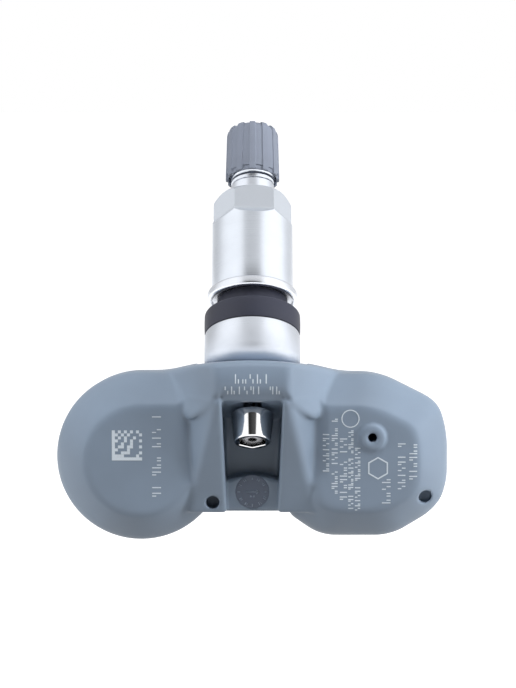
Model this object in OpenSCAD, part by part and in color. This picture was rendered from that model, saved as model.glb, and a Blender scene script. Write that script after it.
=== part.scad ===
// Tyre pressure sensor with a clamp-in valve.
// The sensor housing stands upright and faces -Y. The valve leans back from it.
// The origin is on the valve's axis, in the plane where the grommet meets the rim.

/* [Valve] */
// Lean of the valve away from the housing, in degrees
valve_lean = 30; // [24:1:34]
// Diameter of the metal base below the grommet
base_d = 15.3; // [14.6:0.1:15.8]
// Radius of the ball under the base
ball_r = 12; // [11.6:0.1:12.4]
// Diameter of the stem inside the union nut
stem_d = 8.8; // [8.2:0.1:9]
// Outer diameter of the cap thread
cap_thread_d = 7.7; // [7.5:0.05:7.8]
// Diameter of the smooth neck under the cap
neck_d = 7; // [6.6:0.1:7.3]
// Height of the stem's open end above the rim seat
stem_top = 31; // [30:0.1:31.6]

/* [Grommet] */
// Diameter of the rubber collar inside the rim
collar_d = 15.3; // [14.8:0.1:15.8]
// Thickness of the rubber collar
collar_h = 3.65; // [3.2:0.05:4]
// Diameter of the rubber neck in the rim hole
hole_d = 11.3; // [10.8:0.1:11.8]
// Length of the rubber neck
neck_h = 2.6; // [2.2:0.1:2.8]

/* [Union nut] */
// Round diameter of the nut
nut_d = 12.8; // [12:0.1:13.6]
// Width across the flats
nut_af = 11; // [10.6:0.1:11.6]
// Height of the nut's lower end above the rim seat
nut_low = 3.85; // [3.75:0.05:4.2]
// Length of the nut
nut_h = 17; // [16:0.1:17.4]
// Length of the wrench flats, up to the start of their run-out
flat_h = 4.1; // [3:0.1:5]
// Diameter of the clamp washer
washer_d = 14.2; // [13.6:0.1:14.8]
// Thickness of the clamp washer
washer_h = 1.7; // [1.5:0.05:1.9]

/* [Valve cap] */
// Diameter of the cap at its skirt
cap_d = 9; // [8.9:0.1:9.6]
// Length of the cap
cap_h = 9.1; // [8.8:0.1:10]
// Height of the cap's skirt above the rim seat
cap_low = 24.1; // [24:0.1:24.4]
// Number of grip ribs
cap_ribs = 12; // [8:1:16]
// Depth of the grooves between the ribs
cap_groove = 0.35; // [0.2:0.05:0.45]

/* [Hollow screw] */
// Diameter of the screw shank
screw_d = 4; // [3.6:0.1:4.2]
// Diameter of the screw head
head_d = 7.1; // [6.6:0.1:7.4]
// Diameter of the head at its socket end
head_end_d = 5.9; // [5.6:0.1:6.2]
// Length of the screw head
head_h = 5.3; // [4.6:0.1:5.6]
// Width across the flats of the hex socket
socket_af = 4; // [3.6:0.1:4.2]
// Depth of the hex socket
socket_h = 3.4; // [2.5:0.1:4]

/* [Housing] */
// Height of the right lobe
lobe_h = 26.4; // [25.6:0.1:27.2]
// Reach of the right lobe from the middle
right_reach = 31.1; // [30.4:0.1:32]
// Radius of the round left lobe
left_r = 13.45; // [13.3:0.05:13.8]
// Distance from the middle to the left lobe's centre
left_x = 17.6; // [17.2:0.1:18]
// Thickness of the lobes
lobe_t = 13.5; // [13.2:0.1:14]
// Thickness of the raised middle
panel_t = 18; // [17.6:0.1:18.4]
// Width of the bevel round the lobes' front faces
bevel = 4.9; // [4.4:0.1:5.2]
// Wall left round the cavity
wall = 1.5; // [1.2:0.1:1.8]
// Width of the window at its top
window_w = 9.6; // [9.2:0.1:9.8]
// Width of the window at its bottom
window_low_w = 8; // [7.6:0.1:8.4]
// Diameter of the locating holes
locate_d = 2.1; // [1.8:0.1:2.2]
// Diameter of the pressure port
port_d = 1.4; // [1:0.1:1.6]
// Diameter of the date dial
dial_d = 5.4; // [5:0.1:5.6]

/* [Electronics] */
// Diameter of the battery cell
cell_d = 20; // [19:0.1:20.4]
// Thickness of the battery cell
cell_h = 3.2; // [2.5:0.1:3.4]
// Thickness of the circuit board
board_h = 1; // [0.8:0.1:1.2]
// Thickness of the back lid
lid_h = 1.5; // [1.2:0.1:1.6]

/* [Hidden] */
$fn = 64;

// Overrun of every cut, clearance of running fits and clearance of a ball in its cup
over = 1;
run_gap = 0.05;
seat_gap = 0.03;
// Fineness of the balls and round corners inside a hull
hull_fn = 12;

// Valve: heights along its axis, zero at the rim seat
base_r = base_d / 2;
stem_r = stem_d / 2;
thread_r = cap_thread_d / 2;
stem_neck_r = neck_d / 2;
stem_step = 13.2;
thread_low = 25;
thread_groove = 0.3;
thread_pitch = 0.8;
thread_rings = 3;
stem_chamfer = 0.5;
base_edge = 0.4;
core_bore_r = 2.65;
core_floor = 27;
air_bore_r = 2;
air_floor = 15;
drill_r = 0.75;
tap_top = -4;

// Grommet
collar_r = collar_d / 2;
hole_r = hole_d / 2;
collar_edge = 0.35;

// Nut and washer
nut_r = nut_d / 2;
nut_top = nut_low + nut_h;
washer_r = washer_d / 2;
washer_low = nut_low - washer_h;
washer_edge = 0.5;
washer_recess_r = hole_r + 0.9;
washer_recess_h = neck_h - washer_low + seat_gap;
nut_inner_step = 14.6;
nut_chamfer = 0.9;
flat_ramp = 1.2;
nut_turn = 3;

// Cap
cap_r = cap_d / 2;
cap_top = cap_low + cap_h;
cap_bore_r = thread_r + run_gap;
cap_seal_h = 0.9;
cap_ceiling = stem_top + seat_gap + cap_seal_h;
cap_skirt = 0.9;
cap_round = 1.1;
cap_draft = 0.2;
rib_pitch_r = cap_r + cap_groove;
rib_cut_r = 2 * cap_groove;

// Hollow screw
screw_r = screw_d / 2;
head_r = head_d / 2;
head_end_r = head_end_d / 2;
head_face_r = 2.8;
head_shoulder = 0.9;
bridge_r = 17.5;
head_top = -bridge_r - run_gap;
head_low = head_top - head_h;
screw_top = tap_top - 0.5;
slot_gap = 0.15;
swing = 6;

// Valve core
barrel_r = core_bore_r - run_gap;
barrel_top = stem_top - 0.6;
barrel_low = core_floor + 1;
barrel_neck_r = 1.6;
barrel_end = 22;
barrel_slot = 0.9;
barrel_slot_h = 1;
chamber_r = 1.15;
chamber_low = 22.8;
chamber_top = 28.6;
pin_r = 0.5;
pin_hole_r = pin_r + 0.08;
pin_collar_r = 1;
pin_collar_h = 0.4;
pin_collar_low = 27;
pin_head_r = 0.8;
pin_head_h = 0.5;
pin_well_h = 1.2;
pin_well_gap = 0.12;
seal_r = 1.5;
seal_h = 0.8;
pin_foot_h = 0.5;
spring_wire = 0.26;
spring_r = 0.84;
spring_turns = 6;
spring_steps = 12;
spring_sides = 6;

// Housing: x to the right, y up, z is the depth in front of the back face
back_y = 2.5;
housing_top = -8.74;
left_y = housing_top - left_r;
wall_t = 7.6;
soft_share = 0.3;
soft_depth_share = 0.46;
corner_r = 1.2;
ridge_r = 0.5;
// Corners of the right lobe, as shares of its reach and its height
right_outline_share = [
    [0.161, 0], [0.633, 0], [0.936, -0.195], [1, -0.332], [1, -0.692],
    [0.949, -0.832], [0.71, -1], [0.344, -1], [0.161, -0.843]
];
right_outline = [for (p = right_outline_share) [p[0] * right_reach, housing_top + p[1] * lobe_h]];
// Middle block
panel_w = 12.8;
panel_top = -6.7;
panel_lip = 2.65;
panel_low = panel_lip - bridge_r * cos(valve_lean);
arch_r = 46;
shoulder_w = 27;
shoulder_low_w = 21.4;
shoulder_low = -16.4;
mid_low = -31.4;
mid_bevel = 4.4;
rail_w = 18.2;
rail_low = -25.6;
rail_foot_t = 11.6;
ledge_t = 10.5;
ledge_top = -25.1;
ledge_r = 6.9;
dial_y = -28;
dial_h = 0.25;
pocket_t = 6.5;
// A place on the right lobe, as shares of its reach and its height
function on_right(at_shares) = [at_shares[0] * right_reach, housing_top + at_shares[1] * lobe_h];
locate_left = [-6.3, -29.7];
locate_left_t = 8.6;
locate_right = on_right([0.8907, -0.7674]);
locate_right_t = 8.4;
port_at = on_right([0.6206, -0.3886]);
port_boss_d = 4.2;
port_boss_h = 0.5;
port_tube_r = 2.6;
// Cavity, as three steps that follow the bevel
lid_inset = 1.1;
board_inset = 2.2;
room_inset = 3;
deep_inset = bevel + wall / 2;
room_t = wall_t;
deep_t = lobe_t - wall;
channel_low = -29.6;
channel_top = -19.6;
channel_t = pocket_t - wall;
cavity_left = 10.2;

// Electronics, stacked on the front of the board
board_t = 3.4;
tab_h = 0.2;
tab_w = 5;
tab_leg_w = 2.6;
cell_low = board_t + tab_h;
cell_top = cell_low + cell_h;
cell_edge = 0.5;
chip_size = [5, 5, 1.8];
seal_out_r = 1.9;
seal_hole_r = port_d / 2 + 0.1;
seal_len = 1.5;
port_tube_low = board_t + chip_size[2] + seal_len;
radio_size = [6, 6, 1];
radio_at = on_right([0.463, -0.669]);
core_len_share = 0.272;
winding_share = 0.65;
core_size = [core_len_share * right_reach, 3, 2.6];
antenna_at = on_right([0.7395, -0.6538]);
winding_len = core_size[0] * winding_share;
winding_h = 0.6;
crystal_size = [3.2, 2.5, 0.8];
crystal_gap = 0.8;
crystal_at = [cavity_left + crystal_size[0] / 2 + crystal_gap, port_at[1] + chip_size[1] / 4];
cap_size = [1.6, 0.8, 0.8];
capacitor_at_shares = [[0.5016, -0.4947], [0.591, -0.535], [0.791, -0.4871], [0.791, -0.4189], [0.64, -0.785]];
capacitor_at = [for (at = capacitor_at_shares) on_right(at)];

// Places what is drawn along the valve's axis
module on_valve() {
    rotate([-valve_lean, 0, 0]) children();
}

// Places what is drawn on the back plane, with z towards the front
module on_housing() {
    translate([0, back_y, 0]) rotate([90, 0, 0]) children();
}

// A round tube along the axis, from height low to height high
module tube(low, high, outer, inner) {
    difference() {
        translate([0, 0, low]) cylinder(r = outer, h = high - low);
        translate([0, 0, low - over]) cylinder(r = inner, h = high - low + 2 * over);
    }
}

// A bore along the axis, from height low to height high
module bore(low, high, radius) {
    translate([0, 0, low]) cylinder(r = radius, h = high - low);
}

// A hull round small balls at the given points
module blend_points(points, radius) {
    hull() for (p = points) translate(p) sphere(r = radius, $fn = hull_fn);
}

// The same points on both sides of the middle
function both_sides(points) = concat(points, [for (p = points) [-p[0], p[1], p[2]]]);

// Valve cap: ribbed plastic, rounded at the top, with a plain band at its skirt
module cap_outer() {
    intersection() {
        rotate_extrude() hull() {
            translate([0, cap_low]) square([cap_r, cap_skirt]);
            translate([0, cap_top - 2 * cap_round]) square([cap_r - cap_draft, cap_round]);
            translate([cap_r - cap_draft - cap_round, cap_top - cap_round]) circle(r = cap_round, $fn = 32);
            translate([0, cap_top - cap_round]) square([cap_round, cap_round]);
        }
        union() {
            translate([0, 0, cap_low]) cylinder(r = cap_r, h = cap_skirt);
            translate([0, 0, cap_low]) linear_extrude(cap_h) difference() {
                circle(r = cap_r);
                for (i = [0 : cap_ribs - 1])
                    rotate(360 / cap_ribs * (i + 0.5)) translate([rib_pitch_r, 0]) circle(r = rib_cut_r, $fn = 24);
            }
        }
    }
}

module valve_cap() {
    color("dimgray") on_valve() difference() {
        cap_outer();
        bore(cap_low - over, cap_ceiling, cap_bore_r);
    }
}

// Seal ring inside the top of the cap
module cap_seal() {
    color("black") on_valve() tube(stem_top + seat_gap, cap_ceiling, thread_r - run_gap, pin_head_r + run_gap);
}

// Union nut: a long round nut with six flats at its top and a chamfered top edge
module nut_flats() {
    hex_r = nut_af / 2 / cos(30);
    ramp_r = nut_r / cos(30);
    intersection() {
        bore(nut_low, nut_top, nut_r);
        union() {
            bore(nut_low, nut_top - flat_h - flat_ramp, nut_r);
            translate([0, 0, nut_top - flat_h - flat_ramp])
                cylinder(r1 = ramp_r, r2 = hex_r, h = flat_ramp, $fn = 6);
            translate([0, 0, nut_top - flat_h]) cylinder(r = hex_r, h = flat_h, $fn = 6);
        }
        translate([0, 0, nut_low])
            cylinder(r1 = nut_r + nut_h - nut_chamfer, r2 = nut_r - nut_chamfer, h = nut_h);
    }
}

module union_nut() {
    color("silver") on_valve() difference() {
        rotate(nut_turn) nut_flats();
        bore(nut_low - over, nut_inner_step, stem_r + run_gap);
        bore(nut_inner_step - over, nut_top + over, thread_r + 2 * run_gap);
    }
}

// Clamp washer held at the foot of the nut, hollow underneath
module clamp_washer() {
    color("gainsboro") on_valve() rotate_extrude() difference() {
        union() {
            translate([stem_r + run_gap, washer_low]) square([washer_r - washer_edge - stem_r - run_gap, washer_h]);
            translate([washer_r - 2 * washer_edge, washer_low + washer_edge])
                square([2 * washer_edge, washer_h - 2 * washer_edge]);
            for (h = [washer_low + washer_edge, nut_low - washer_edge])
                translate([washer_r - washer_edge, h]) circle(r = washer_edge, $fn = 32);
        }
        translate([0, washer_low - over]) square([washer_recess_r, washer_recess_h + over]);
    }
}

// Valve body: ball foot, base, stem with the nut thread, neck and cap thread
module valve_body() {
    color("lightgray") on_valve() difference() {
        union() {
            intersection() {
                sphere(r = ball_r, $fn = 96);
                bore(-ball_r - over, -collar_h - base_edge, base_r);
            }
            translate([0, 0, -collar_h - base_edge])
                cylinder(r1 = base_r, r2 = base_r - base_edge, h = base_edge);
            bore(-collar_h - base_edge, stem_step, stem_r);
            bore(stem_step - over, stem_top - stem_chamfer, stem_neck_r);
            bore(thread_low, stem_top - stem_chamfer, thread_r);
            translate([0, 0, stem_top - stem_chamfer])
                cylinder(r1 = thread_r, r2 = thread_r - stem_chamfer, h = stem_chamfer);
        }
        for (i = [0 : thread_rings - 1])
            tube_cut(thread_low + thread_pitch * (i + 1) - thread_groove / 2);
        bore(core_floor, stem_top + over, core_bore_r);
        bore(air_floor, core_floor + over, air_bore_r);
        bore(tap_top - over, air_floor + over, drill_r);
        bore(-ball_r - over, tap_top, screw_r + run_gap);
    }
}

// One groove of the cap thread
module tube_cut(low) {
    tube(low, low + thread_groove, thread_r + over, stem_neck_r);
}

// Rubber grommet: a collar against the rim and a neck through its hole
module rim_grommet() {
    color([0.16, 0.16, 0.19]) on_valve() difference() {
        union() {
            bore(-collar_h, -collar_edge, collar_r);
            translate([0, 0, -collar_edge])
                cylinder(r1 = collar_r, r2 = collar_r - collar_edge, h = collar_edge);
            bore(-collar_h, neck_h, hole_r);
        }
        bore(-collar_h - over, neck_h + over, stem_r + run_gap);
    }
}

// Hollow screw: its head bears on the bridge, its hex socket faces the window
module hollow_screw() {
    color("whitesmoke") on_valve() difference() {
        union() {
            bore(head_top - over / 2, screw_top, screw_r);
            difference() {
                rotate_extrude() polygon([
                    [0, head_low], [head_end_r, head_low], [head_r, head_top - head_shoulder],
                    [head_face_r, head_top + run_gap], [0, head_top + run_gap]
                ]);
                sphere(r = bridge_r + run_gap, $fn = 96);
            }
        }
        bore(head_low - over, screw_top + over, drill_r);
        translate([0, 0, head_low - over])
            cylinder(r = socket_af / 2 / cos(30), h = socket_h + over, $fn = 6);
    }
}

// Valve core: threaded brass barrel with a spring chamber
module core_barrel() {
    color("goldenrod") on_valve() difference() {
        union() {
            bore(barrel_low, barrel_top, barrel_r);
            bore(barrel_end, barrel_low + over, barrel_neck_r);
        }
        bore(barrel_end - over, barrel_top + over, pin_hole_r);
        bore(chamber_low, chamber_top, chamber_r);
        bore(barrel_top - pin_well_h, barrel_top + over, pin_head_r + pin_well_gap);
        translate([-barrel_r - over, -barrel_slot / 2, barrel_top - barrel_slot_h])
            cube([2 * (barrel_r + over), barrel_slot, barrel_slot_h + over]);
    }
}

// Sealing collar between the barrel and the floor of the core bore
module core_seal() {
    color("white") on_valve() tube(core_floor, barrel_low, barrel_r, barrel_neck_r + seat_gap);
}

// Core pin, pressed to open the valve
module core_pin() {
    color("khaki") on_valve() {
        bore(barrel_end - seal_h - pin_foot_h, stem_top, pin_r);
        bore(pin_collar_low, pin_collar_low + pin_collar_h, pin_collar_r);
        bore(barrel_end - seal_h - pin_foot_h, barrel_end - seal_h, seal_r);
        bore(stem_top - pin_head_h, stem_top, pin_head_r);
    }
}

// Rubber plunger seal on the pin's foot
module pin_seal() {
    color("black") on_valve() tube(barrel_end - seal_h, barrel_end - seat_gap, seal_r, pin_r + seat_gap);
}

// Coil spring round the pin, swept along its helix
module core_spring() {
    low = chamber_low + spring_wire / 2 + seat_gap;
    high = pin_collar_low - spring_wire / 2 - seat_gap;
    steps = spring_turns * spring_steps;
    rings = [for (i = [0 : steps]) let (
        turn = 360 * i / spring_steps,
        z = low + (high - low) * i / steps
    ) [for (k = [0 : spring_sides - 1]) let (
        side = 360 * k / spring_sides,
        r = spring_r + spring_wire / 2 * cos(side)
    ) [r * cos(turn), r * sin(turn), z + spring_wire / 2 * sin(side)]]];
    points = [for (ring = rings) for (p = ring) p];
    sides = [for (i = [0 : steps - 1]) for (k = [0 : spring_sides - 1]) let (
        a = i * spring_sides + k,
        b = i * spring_sides + (k + 1) % spring_sides
    ) [a, b, b + spring_sides, a + spring_sides]];
    first = [for (k = [spring_sides - 1 : -1 : 0]) k];
    last = [for (k = [0 : spring_sides - 1]) steps * spring_sides + k];
    color("slategray") on_valve() polyhedron(points = points, faces = concat([first], sides, [last]));
}

// Outline of the right lobe, drawn in by an inset
module right_shape(inset) {
    offset(delta = -inset) polygon(right_outline);
}

// Right lobe: upright wall, then a bevel that rounds over to a flat front
module right_lobe() {
    hull() {
        linear_extrude(wall_t) offset(r = corner_r, $fn = hull_fn) right_shape(corner_r);
        translate([0, 0, wall_t]) linear_extrude((lobe_t - wall_t) * soft_depth_share)
            offset(r = corner_r, $fn = hull_fn) right_shape(corner_r + bevel * soft_share);
        linear_extrude(lobe_t) offset(r = corner_r, $fn = hull_fn) right_shape(corner_r + bevel);
    }
}

// Section of the left lobe, from its centre out
module left_section() {
    soft_t = wall_t + (lobe_t - wall_t) * soft_depth_share;
    polygon([
        [0, 0], [left_r, 0], [left_r, wall_t], [left_r - bevel * soft_share, soft_t],
        [left_r - bevel, lobe_t], [0, lobe_t]
    ]);
}

// Left lobe: the same bevel, turned, and drawn out straight along the top towards the bridge
module left_lobe() {
    translate([-left_x, left_y, 0]) {
        rotate_extrude($fn = 96) left_section();
        rotate([90, 0, 90]) linear_extrude(left_x - panel_w / 2) left_section();
    }
}

// Middle of the housing between the lobes, bevelled along its top and bottom
module middle_block() {
    side = shoulder_w / 2;
    blend_points(concat(
        both_sides([
            [side - ridge_r, housing_top - ridge_r, ridge_r],
            [side - ridge_r, housing_top - ridge_r, wall_t],
            [shoulder_low_w / 2, housing_top - bevel, lobe_t - ridge_r]
        ]),
        both_sides([
            [rail_w / 2 - ridge_r, mid_low + ridge_r, ridge_r],
            [rail_w / 2 - ridge_r, mid_low + ridge_r, wall_t],
            [rail_w / 2, mid_low + mid_bevel, lobe_t - ridge_r]
        ])
    ), ridge_r);
}

// Bridge over the screw: a flat front panel with sloping shoulders and an arched top
module bridge_block() {
    intersection() {
        blend_points(both_sides([
            [panel_w / 2 - ridge_r, panel_top + ridge_r, panel_t - 4 * ridge_r],
            [panel_w / 2 - ridge_r, panel_top - 2 * ridge_r, panel_t - ridge_r],
            [panel_w / 2 - ridge_r, panel_low + ridge_r, panel_t - ridge_r],
            [shoulder_w / 2 - ridge_r, panel_top + ridge_r, wall_t],
            [shoulder_w / 2 - ridge_r, panel_top + ridge_r, ridge_r],
            [shoulder_low_w / 2, shoulder_low, lobe_t - ridge_r],
            [shoulder_low_w / 2, shoulder_low, ridge_r]
        ]), ridge_r);
        translate([0, panel_top - arch_r, 0]) cylinder(r = arch_r, h = panel_t, $fn = 96);
    }
}

// Rail beside the window: a strip that widens and falls back towards the bottom
module rail(side) {
    points = [
        [window_w / 2, panel_low + ridge_r, panel_t - 2 * ridge_r],
        [panel_w / 2, panel_low - ridge_r, panel_t - 2 * ridge_r],
        [rail_w / 2 - ridge_r, shoulder_low, lobe_t - ridge_r],
        [rail_w / 2 - ridge_r, rail_low, lobe_t],
        [window_low_w / 2, rail_low, lobe_t + ridge_r],
        [window_low_w / 2, mid_low + ridge_r, rail_foot_t],
        [rail_w / 2 - ridge_r, mid_low + ridge_r, rail_foot_t],
        [window_low_w / 2, mid_low + ridge_r, wall_t],
        [rail_w / 2 - ridge_r, mid_low + ridge_r, wall_t],
        [window_w / 2, panel_low + ridge_r, wall_t]
    ];
    blend_points([for (p = points) [side * p[0], p[1], p[2]]], ridge_r);
}

// Window: a deep pocket under the bridge, with a raised ledge at its mouth
module window_cut() {
    difference() {
        translate([0, 0, pocket_t]) linear_extrude(panel_t) polygon([
            [window_w / 2, panel_low], [-window_w / 2, panel_low],
            [-window_low_w / 2, mid_low - over], [window_low_w / 2, mid_low - over]
        ]);
        linear_extrude(ledge_t) intersection() {
            translate([0, ledge_top - ledge_r]) circle(r = ledge_r);
            translate([-window_w, mid_low - over]) square([2 * window_w, ledge_r]);
        }
        translate([0, 0, back_y]) sphere(r = bridge_r, $fn = 96);
    }
    translate([0, dial_y, ledge_t - dial_h]) cylinder(d = dial_d, h = dial_h + over);
}

// Slot that lets the housing swing round the screw, with its ends square to the screw
module swing_slot() {
    slot_r = screw_r + slot_gap;
    reach = [ball_r - over, bridge_r + over];
    function corner(r, side) = [
        -r * cos(swing) + slot_r * sin(swing),
        side * (r * sin(swing) + slot_r * cos(swing))
    ];
    on_valve() rotate([0, -90, 0]) linear_extrude(2 * slot_r, center = true)
        polygon([corner(reach[0], 1), corner(reach[1], 1), corner(reach[1], -1), corner(reach[0], -1)]);
}

// Cavity for the cell and the board, open at the back
module cavity() {
    steps = [[lid_inset, lid_h], [board_inset, board_t], [room_inset, room_t], [deep_inset, deep_t]];
    for (step = steps) {
        translate([-left_x, left_y, -over]) cylinder(r = left_r - step[0], h = step[1] + over);
        translate([0, 0, -over]) linear_extrude(step[1] + over) right_room(step[0]);
    }
    translate([0, 0, -over]) linear_extrude(channel_t + over) channel_shape(0);
    translate([0, 0, -over]) linear_extrude(lid_h + over) channel_shape(board_inset - lid_inset);
}

// Plan of the right side of the cavity
module right_room(inset) {
    intersection() {
        right_shape(inset);
        translate([cavity_left + inset - board_inset, housing_top - lobe_h]) square([right_reach, lobe_h]);
    }
}

// Plan of the channel that joins the two sides behind the window
module channel_shape(grow) {
    translate([-left_x / 2, channel_low - grow])
        square([left_x / 2 + cavity_left + over, channel_top - channel_low + 2 * grow]);
}

// Housing: one moulding with the two lobes, the bridge, the rails and the cavity
module housing() {
    color("slategray") difference() {
        on_housing() difference() {
            union() {
                right_lobe();
                left_lobe();
                middle_block();
                bridge_block();
                rail(1);
                rail(-1);
                translate([port_at[0], port_at[1], lobe_t - over])
                    cylinder(d = port_boss_d, h = port_boss_h + over);
            }
            window_cut();
            difference() {
                cavity();
                translate([port_at[0], port_at[1], port_tube_low]) cylinder(r = port_tube_r, h = deep_t);
            }
            translate([port_at[0], port_at[1], board_t]) cylinder(d = port_d, h = lobe_t);
            translate([locate_left[0], locate_left[1], locate_left_t]) cylinder(d = locate_d, h = panel_t);
            translate([locate_right[0], locate_right[1], locate_right_t]) cylinder(d = locate_d, h = panel_t);
        }
        sphere(r = ball_r + run_gap, $fn = 96);
        swing_slot();
    }
}

// Back lid, welded into the back of the housing
module back_lid() {
    color("lightslategray") on_housing() linear_extrude(lid_h) {
        translate([-left_x, left_y]) circle(r = left_r - lid_inset - run_gap);
        right_room(lid_inset + run_gap);
        channel_shape(board_inset - lid_inset - run_gap);
    }
}

// Circuit board, seated on the step inside the housing
module circuit_board() {
    color("darkgreen") on_housing() translate([0, 0, board_t - board_h]) linear_extrude(board_h) {
        translate([-left_x, left_y]) circle(r = left_r - board_inset - run_gap);
        right_room(board_inset + run_gap);
        channel_shape(-run_gap);
    }
}

// Battery cell, a lithium coin cell with a rounded rim
module battery_cell() {
    color("silver") on_housing() translate([-left_x, left_y, cell_low]) {
        cylinder(d = cell_d, h = cell_h - cell_edge);
        cylinder(d = cell_d - 2 * cell_edge, h = cell_h);
    }
}

// Front battery tab, with a leg down to the board
module battery_tab_front() {
    leg_x = cell_d / 2 + run_gap;
    color("lightyellow") on_housing() translate([-left_x, left_y, 0]) {
        translate([-cell_d / 4, -tab_leg_w / 2, cell_top]) cube([cell_d / 4 + leg_x + tab_h, tab_leg_w, tab_h]);
        translate([leg_x, -tab_leg_w / 2, board_t]) cube([tab_h, tab_leg_w, cell_top - board_t]);
    }
}

// Back battery tab, flat between the cell and the board
module battery_tab_back() {
    color("lightyellow") on_housing() translate([-left_x - cell_d / 4, left_y - tab_w / 2, board_t])
        cube([cell_d / 2, tab_w, tab_h]);
}

// A flat block that stands on the board
module on_board(at, size) {
    on_housing() translate([at[0] - size[0] / 2, at[1] - size[1] / 2, board_t]) cube(size);
}

// Pressure sensor chip, with its own inlet under the port
module sensor_chip() {
    color("dimgray") difference() {
        on_board(port_at, chip_size);
        on_housing() translate([port_at[0], port_at[1], board_t + chip_size[2] / 2])
            cylinder(d = port_d, h = chip_size[2]);
    }
}

// Seal between the chip and the port tube
module port_seal() {
    color("black") on_housing() translate([port_at[0], port_at[1], 0])
        tube(board_t + chip_size[2], port_tube_low, seal_out_r, seal_hole_r);
}

// Transmitter chip
module transmitter_chip() {
    color([0.2, 0.2, 0.2]) on_board(radio_at, radio_size);
}

// Ferrite core of the wake-up antenna: a bar between two flanges that stand on the board
module antenna_core() {
    flange = (core_size[0] - winding_len) / 2 - seat_gap;
    bar = core_size[2] - 2 * winding_h;
    color("black") {
        for (side = [-1, 1])
            on_board([antenna_at[0] + side * (core_size[0] - flange) / 2, antenna_at[1]],
                [flange, core_size[1], core_size[2]]);
        on_housing() translate([antenna_at[0] - core_size[0] / 2, antenna_at[1] - bar / 2, board_t + winding_h])
            cube([core_size[0], bar, bar]);
    }
}

// Copper winding round the ferrite bar
module antenna_winding() {
    bar = core_size[2] - 2 * winding_h + 2 * seat_gap;
    color("peru") on_housing()
        translate([antenna_at[0] - winding_len / 2, antenna_at[1], board_t + core_size[2] / 2])
        rotate([0, 90, 0]) difference() {
            linear_extrude(winding_len) square([core_size[2] - 2 * seat_gap, core_size[1] - 2 * seat_gap], center = true);
            translate([0, 0, -over]) linear_extrude(winding_len + 2 * over) square(bar, center = true);
        }
}

// Crystal can
module crystal() {
    color("gainsboro") on_board(crystal_at, crystal_size);
}

// Small ceramic capacitors
module capacitors() {
    color("tan") for (at = capacitor_at) on_board(at, cap_size);
}

valve_cap();
cap_seal();
union_nut();
clamp_washer();
valve_body();
rim_grommet();
hollow_screw();
core_barrel();
core_seal();
core_pin();
pin_seal();
core_spring();
housing();
back_lid();
circuit_board();
battery_cell();
battery_tab_front();
battery_tab_back();
sensor_chip();
port_seal();
transmitter_chip();
antenna_core();
antenna_winding();
crystal();
capacitors();
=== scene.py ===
import math

import bpy
import numpy as np
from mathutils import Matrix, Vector


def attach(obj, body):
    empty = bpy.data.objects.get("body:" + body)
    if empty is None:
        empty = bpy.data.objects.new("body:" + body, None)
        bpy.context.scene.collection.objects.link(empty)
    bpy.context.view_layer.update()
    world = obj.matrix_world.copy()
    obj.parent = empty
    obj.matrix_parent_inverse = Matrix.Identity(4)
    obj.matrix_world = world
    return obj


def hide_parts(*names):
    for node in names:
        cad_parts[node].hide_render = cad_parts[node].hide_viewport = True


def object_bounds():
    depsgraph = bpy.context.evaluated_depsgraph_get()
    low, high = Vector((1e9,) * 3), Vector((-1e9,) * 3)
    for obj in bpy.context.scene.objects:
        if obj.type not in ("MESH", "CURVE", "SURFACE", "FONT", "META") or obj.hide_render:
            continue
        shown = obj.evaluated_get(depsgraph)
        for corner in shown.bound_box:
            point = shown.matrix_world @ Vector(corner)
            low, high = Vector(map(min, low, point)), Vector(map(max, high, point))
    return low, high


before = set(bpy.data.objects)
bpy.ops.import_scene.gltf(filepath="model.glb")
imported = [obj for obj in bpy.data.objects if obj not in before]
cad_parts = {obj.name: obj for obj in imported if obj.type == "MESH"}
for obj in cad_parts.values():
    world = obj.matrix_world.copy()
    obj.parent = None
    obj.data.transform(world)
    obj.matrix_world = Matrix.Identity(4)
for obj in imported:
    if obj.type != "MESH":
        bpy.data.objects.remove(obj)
cad_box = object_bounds()

# Visual model of the tyre pressure sensor, built round the CAD frame, with sizes in millimetres
MM = 0.001

# Valve, in millimetres along its axis from the rim seat
LEAN = math.radians(30.0)
BALL_R = 12.0
BASE_R = 7.65
COLLAR_H = 3.65
COLLAR_R = 7.65
NECK_R = 5.65
NECK_H = 2.6
STEM_R = 4.4
STEM_NECK_R = 3.5
STEM_STEP = 13.2
STEM_TOP = 31.0
THREAD_R = 3.85
THREAD_LOW = 23.1
THREAD_PITCH = 0.794
CORE_BORE_R = 2.65
CORE_FLOOR = 27.0
CORE_SEAT_R = 2.0
CORE_BED = 15.0
NUT_R = 6.52
NUT_FLAT = 5.5
NUT_LOW = 3.85
NUT_TOP = 20.85
NUT_BORE_R = 4.45
NUT_STEP = 14.6
NUT_MOUTH_R = 3.95
NUT_TURN = math.radians(3.0)
WASHER_R = 7.25
WASHER_LOW = 2.15
WASHER_BORE_R = 4.45
WASHER_RECESS_R = 6.55
WASHER_RECESS_TOP = 2.63
CAP_R = 4.42
CAP_LOW = 24.5
CAP_TOP = 33.72
CAP_BORE_R = 3.9
CAP_CEILING = 31.93
CAP_RIBS = 12
BRIDGE_R = 16.95
HEAD_R = 3.40
HEAD_END_R = 2.86
HEAD_FACE_R = 2.5
HEAD_TOP = -17.0
HEAD_LOW = -22.1
WAIST_R = 1.2
HEAD_SPARE = 0.12
SCREW_R = 2.0
SCREW_TOP = -4.5
SOCKET_FLAT = 2.0
SOCKET_H = 3.4
DRILL_R = 0.75
# Where the valve's turned finish starts and ends to grow rougher towards the ball foot
FOOT_FADE = (-4.5, -8.5)

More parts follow.
